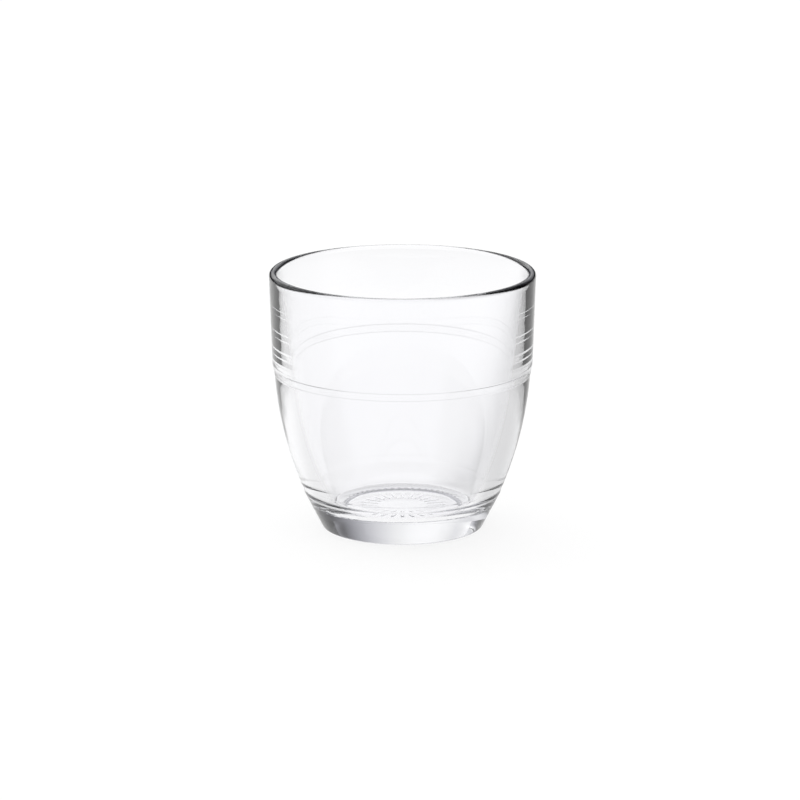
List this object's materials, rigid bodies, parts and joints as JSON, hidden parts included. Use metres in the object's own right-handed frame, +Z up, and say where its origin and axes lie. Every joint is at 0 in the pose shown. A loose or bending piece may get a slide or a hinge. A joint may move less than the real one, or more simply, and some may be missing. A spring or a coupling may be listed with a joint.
{
  "type": "cortado glass",
  "caption": "Short round tumbler in clear pressed glass: straight band under a rounded rim, stepped ledge, tapered bowl, heavy conical foot.",
  "frame": {"origin": "centre of the base, on the plane of the table that the glass stands on", "axes": "+Z up along the axis of the glass; the glass is round, so +X and +Y are alike"},
  "size_m": [0.073, 0.073, 0.0717],
  "materials": {
    "clear_glass": "polished"
  },
  "bodies": {
    "root": {"tumbler": "clear_glass"}
  },
  "joints": []
}
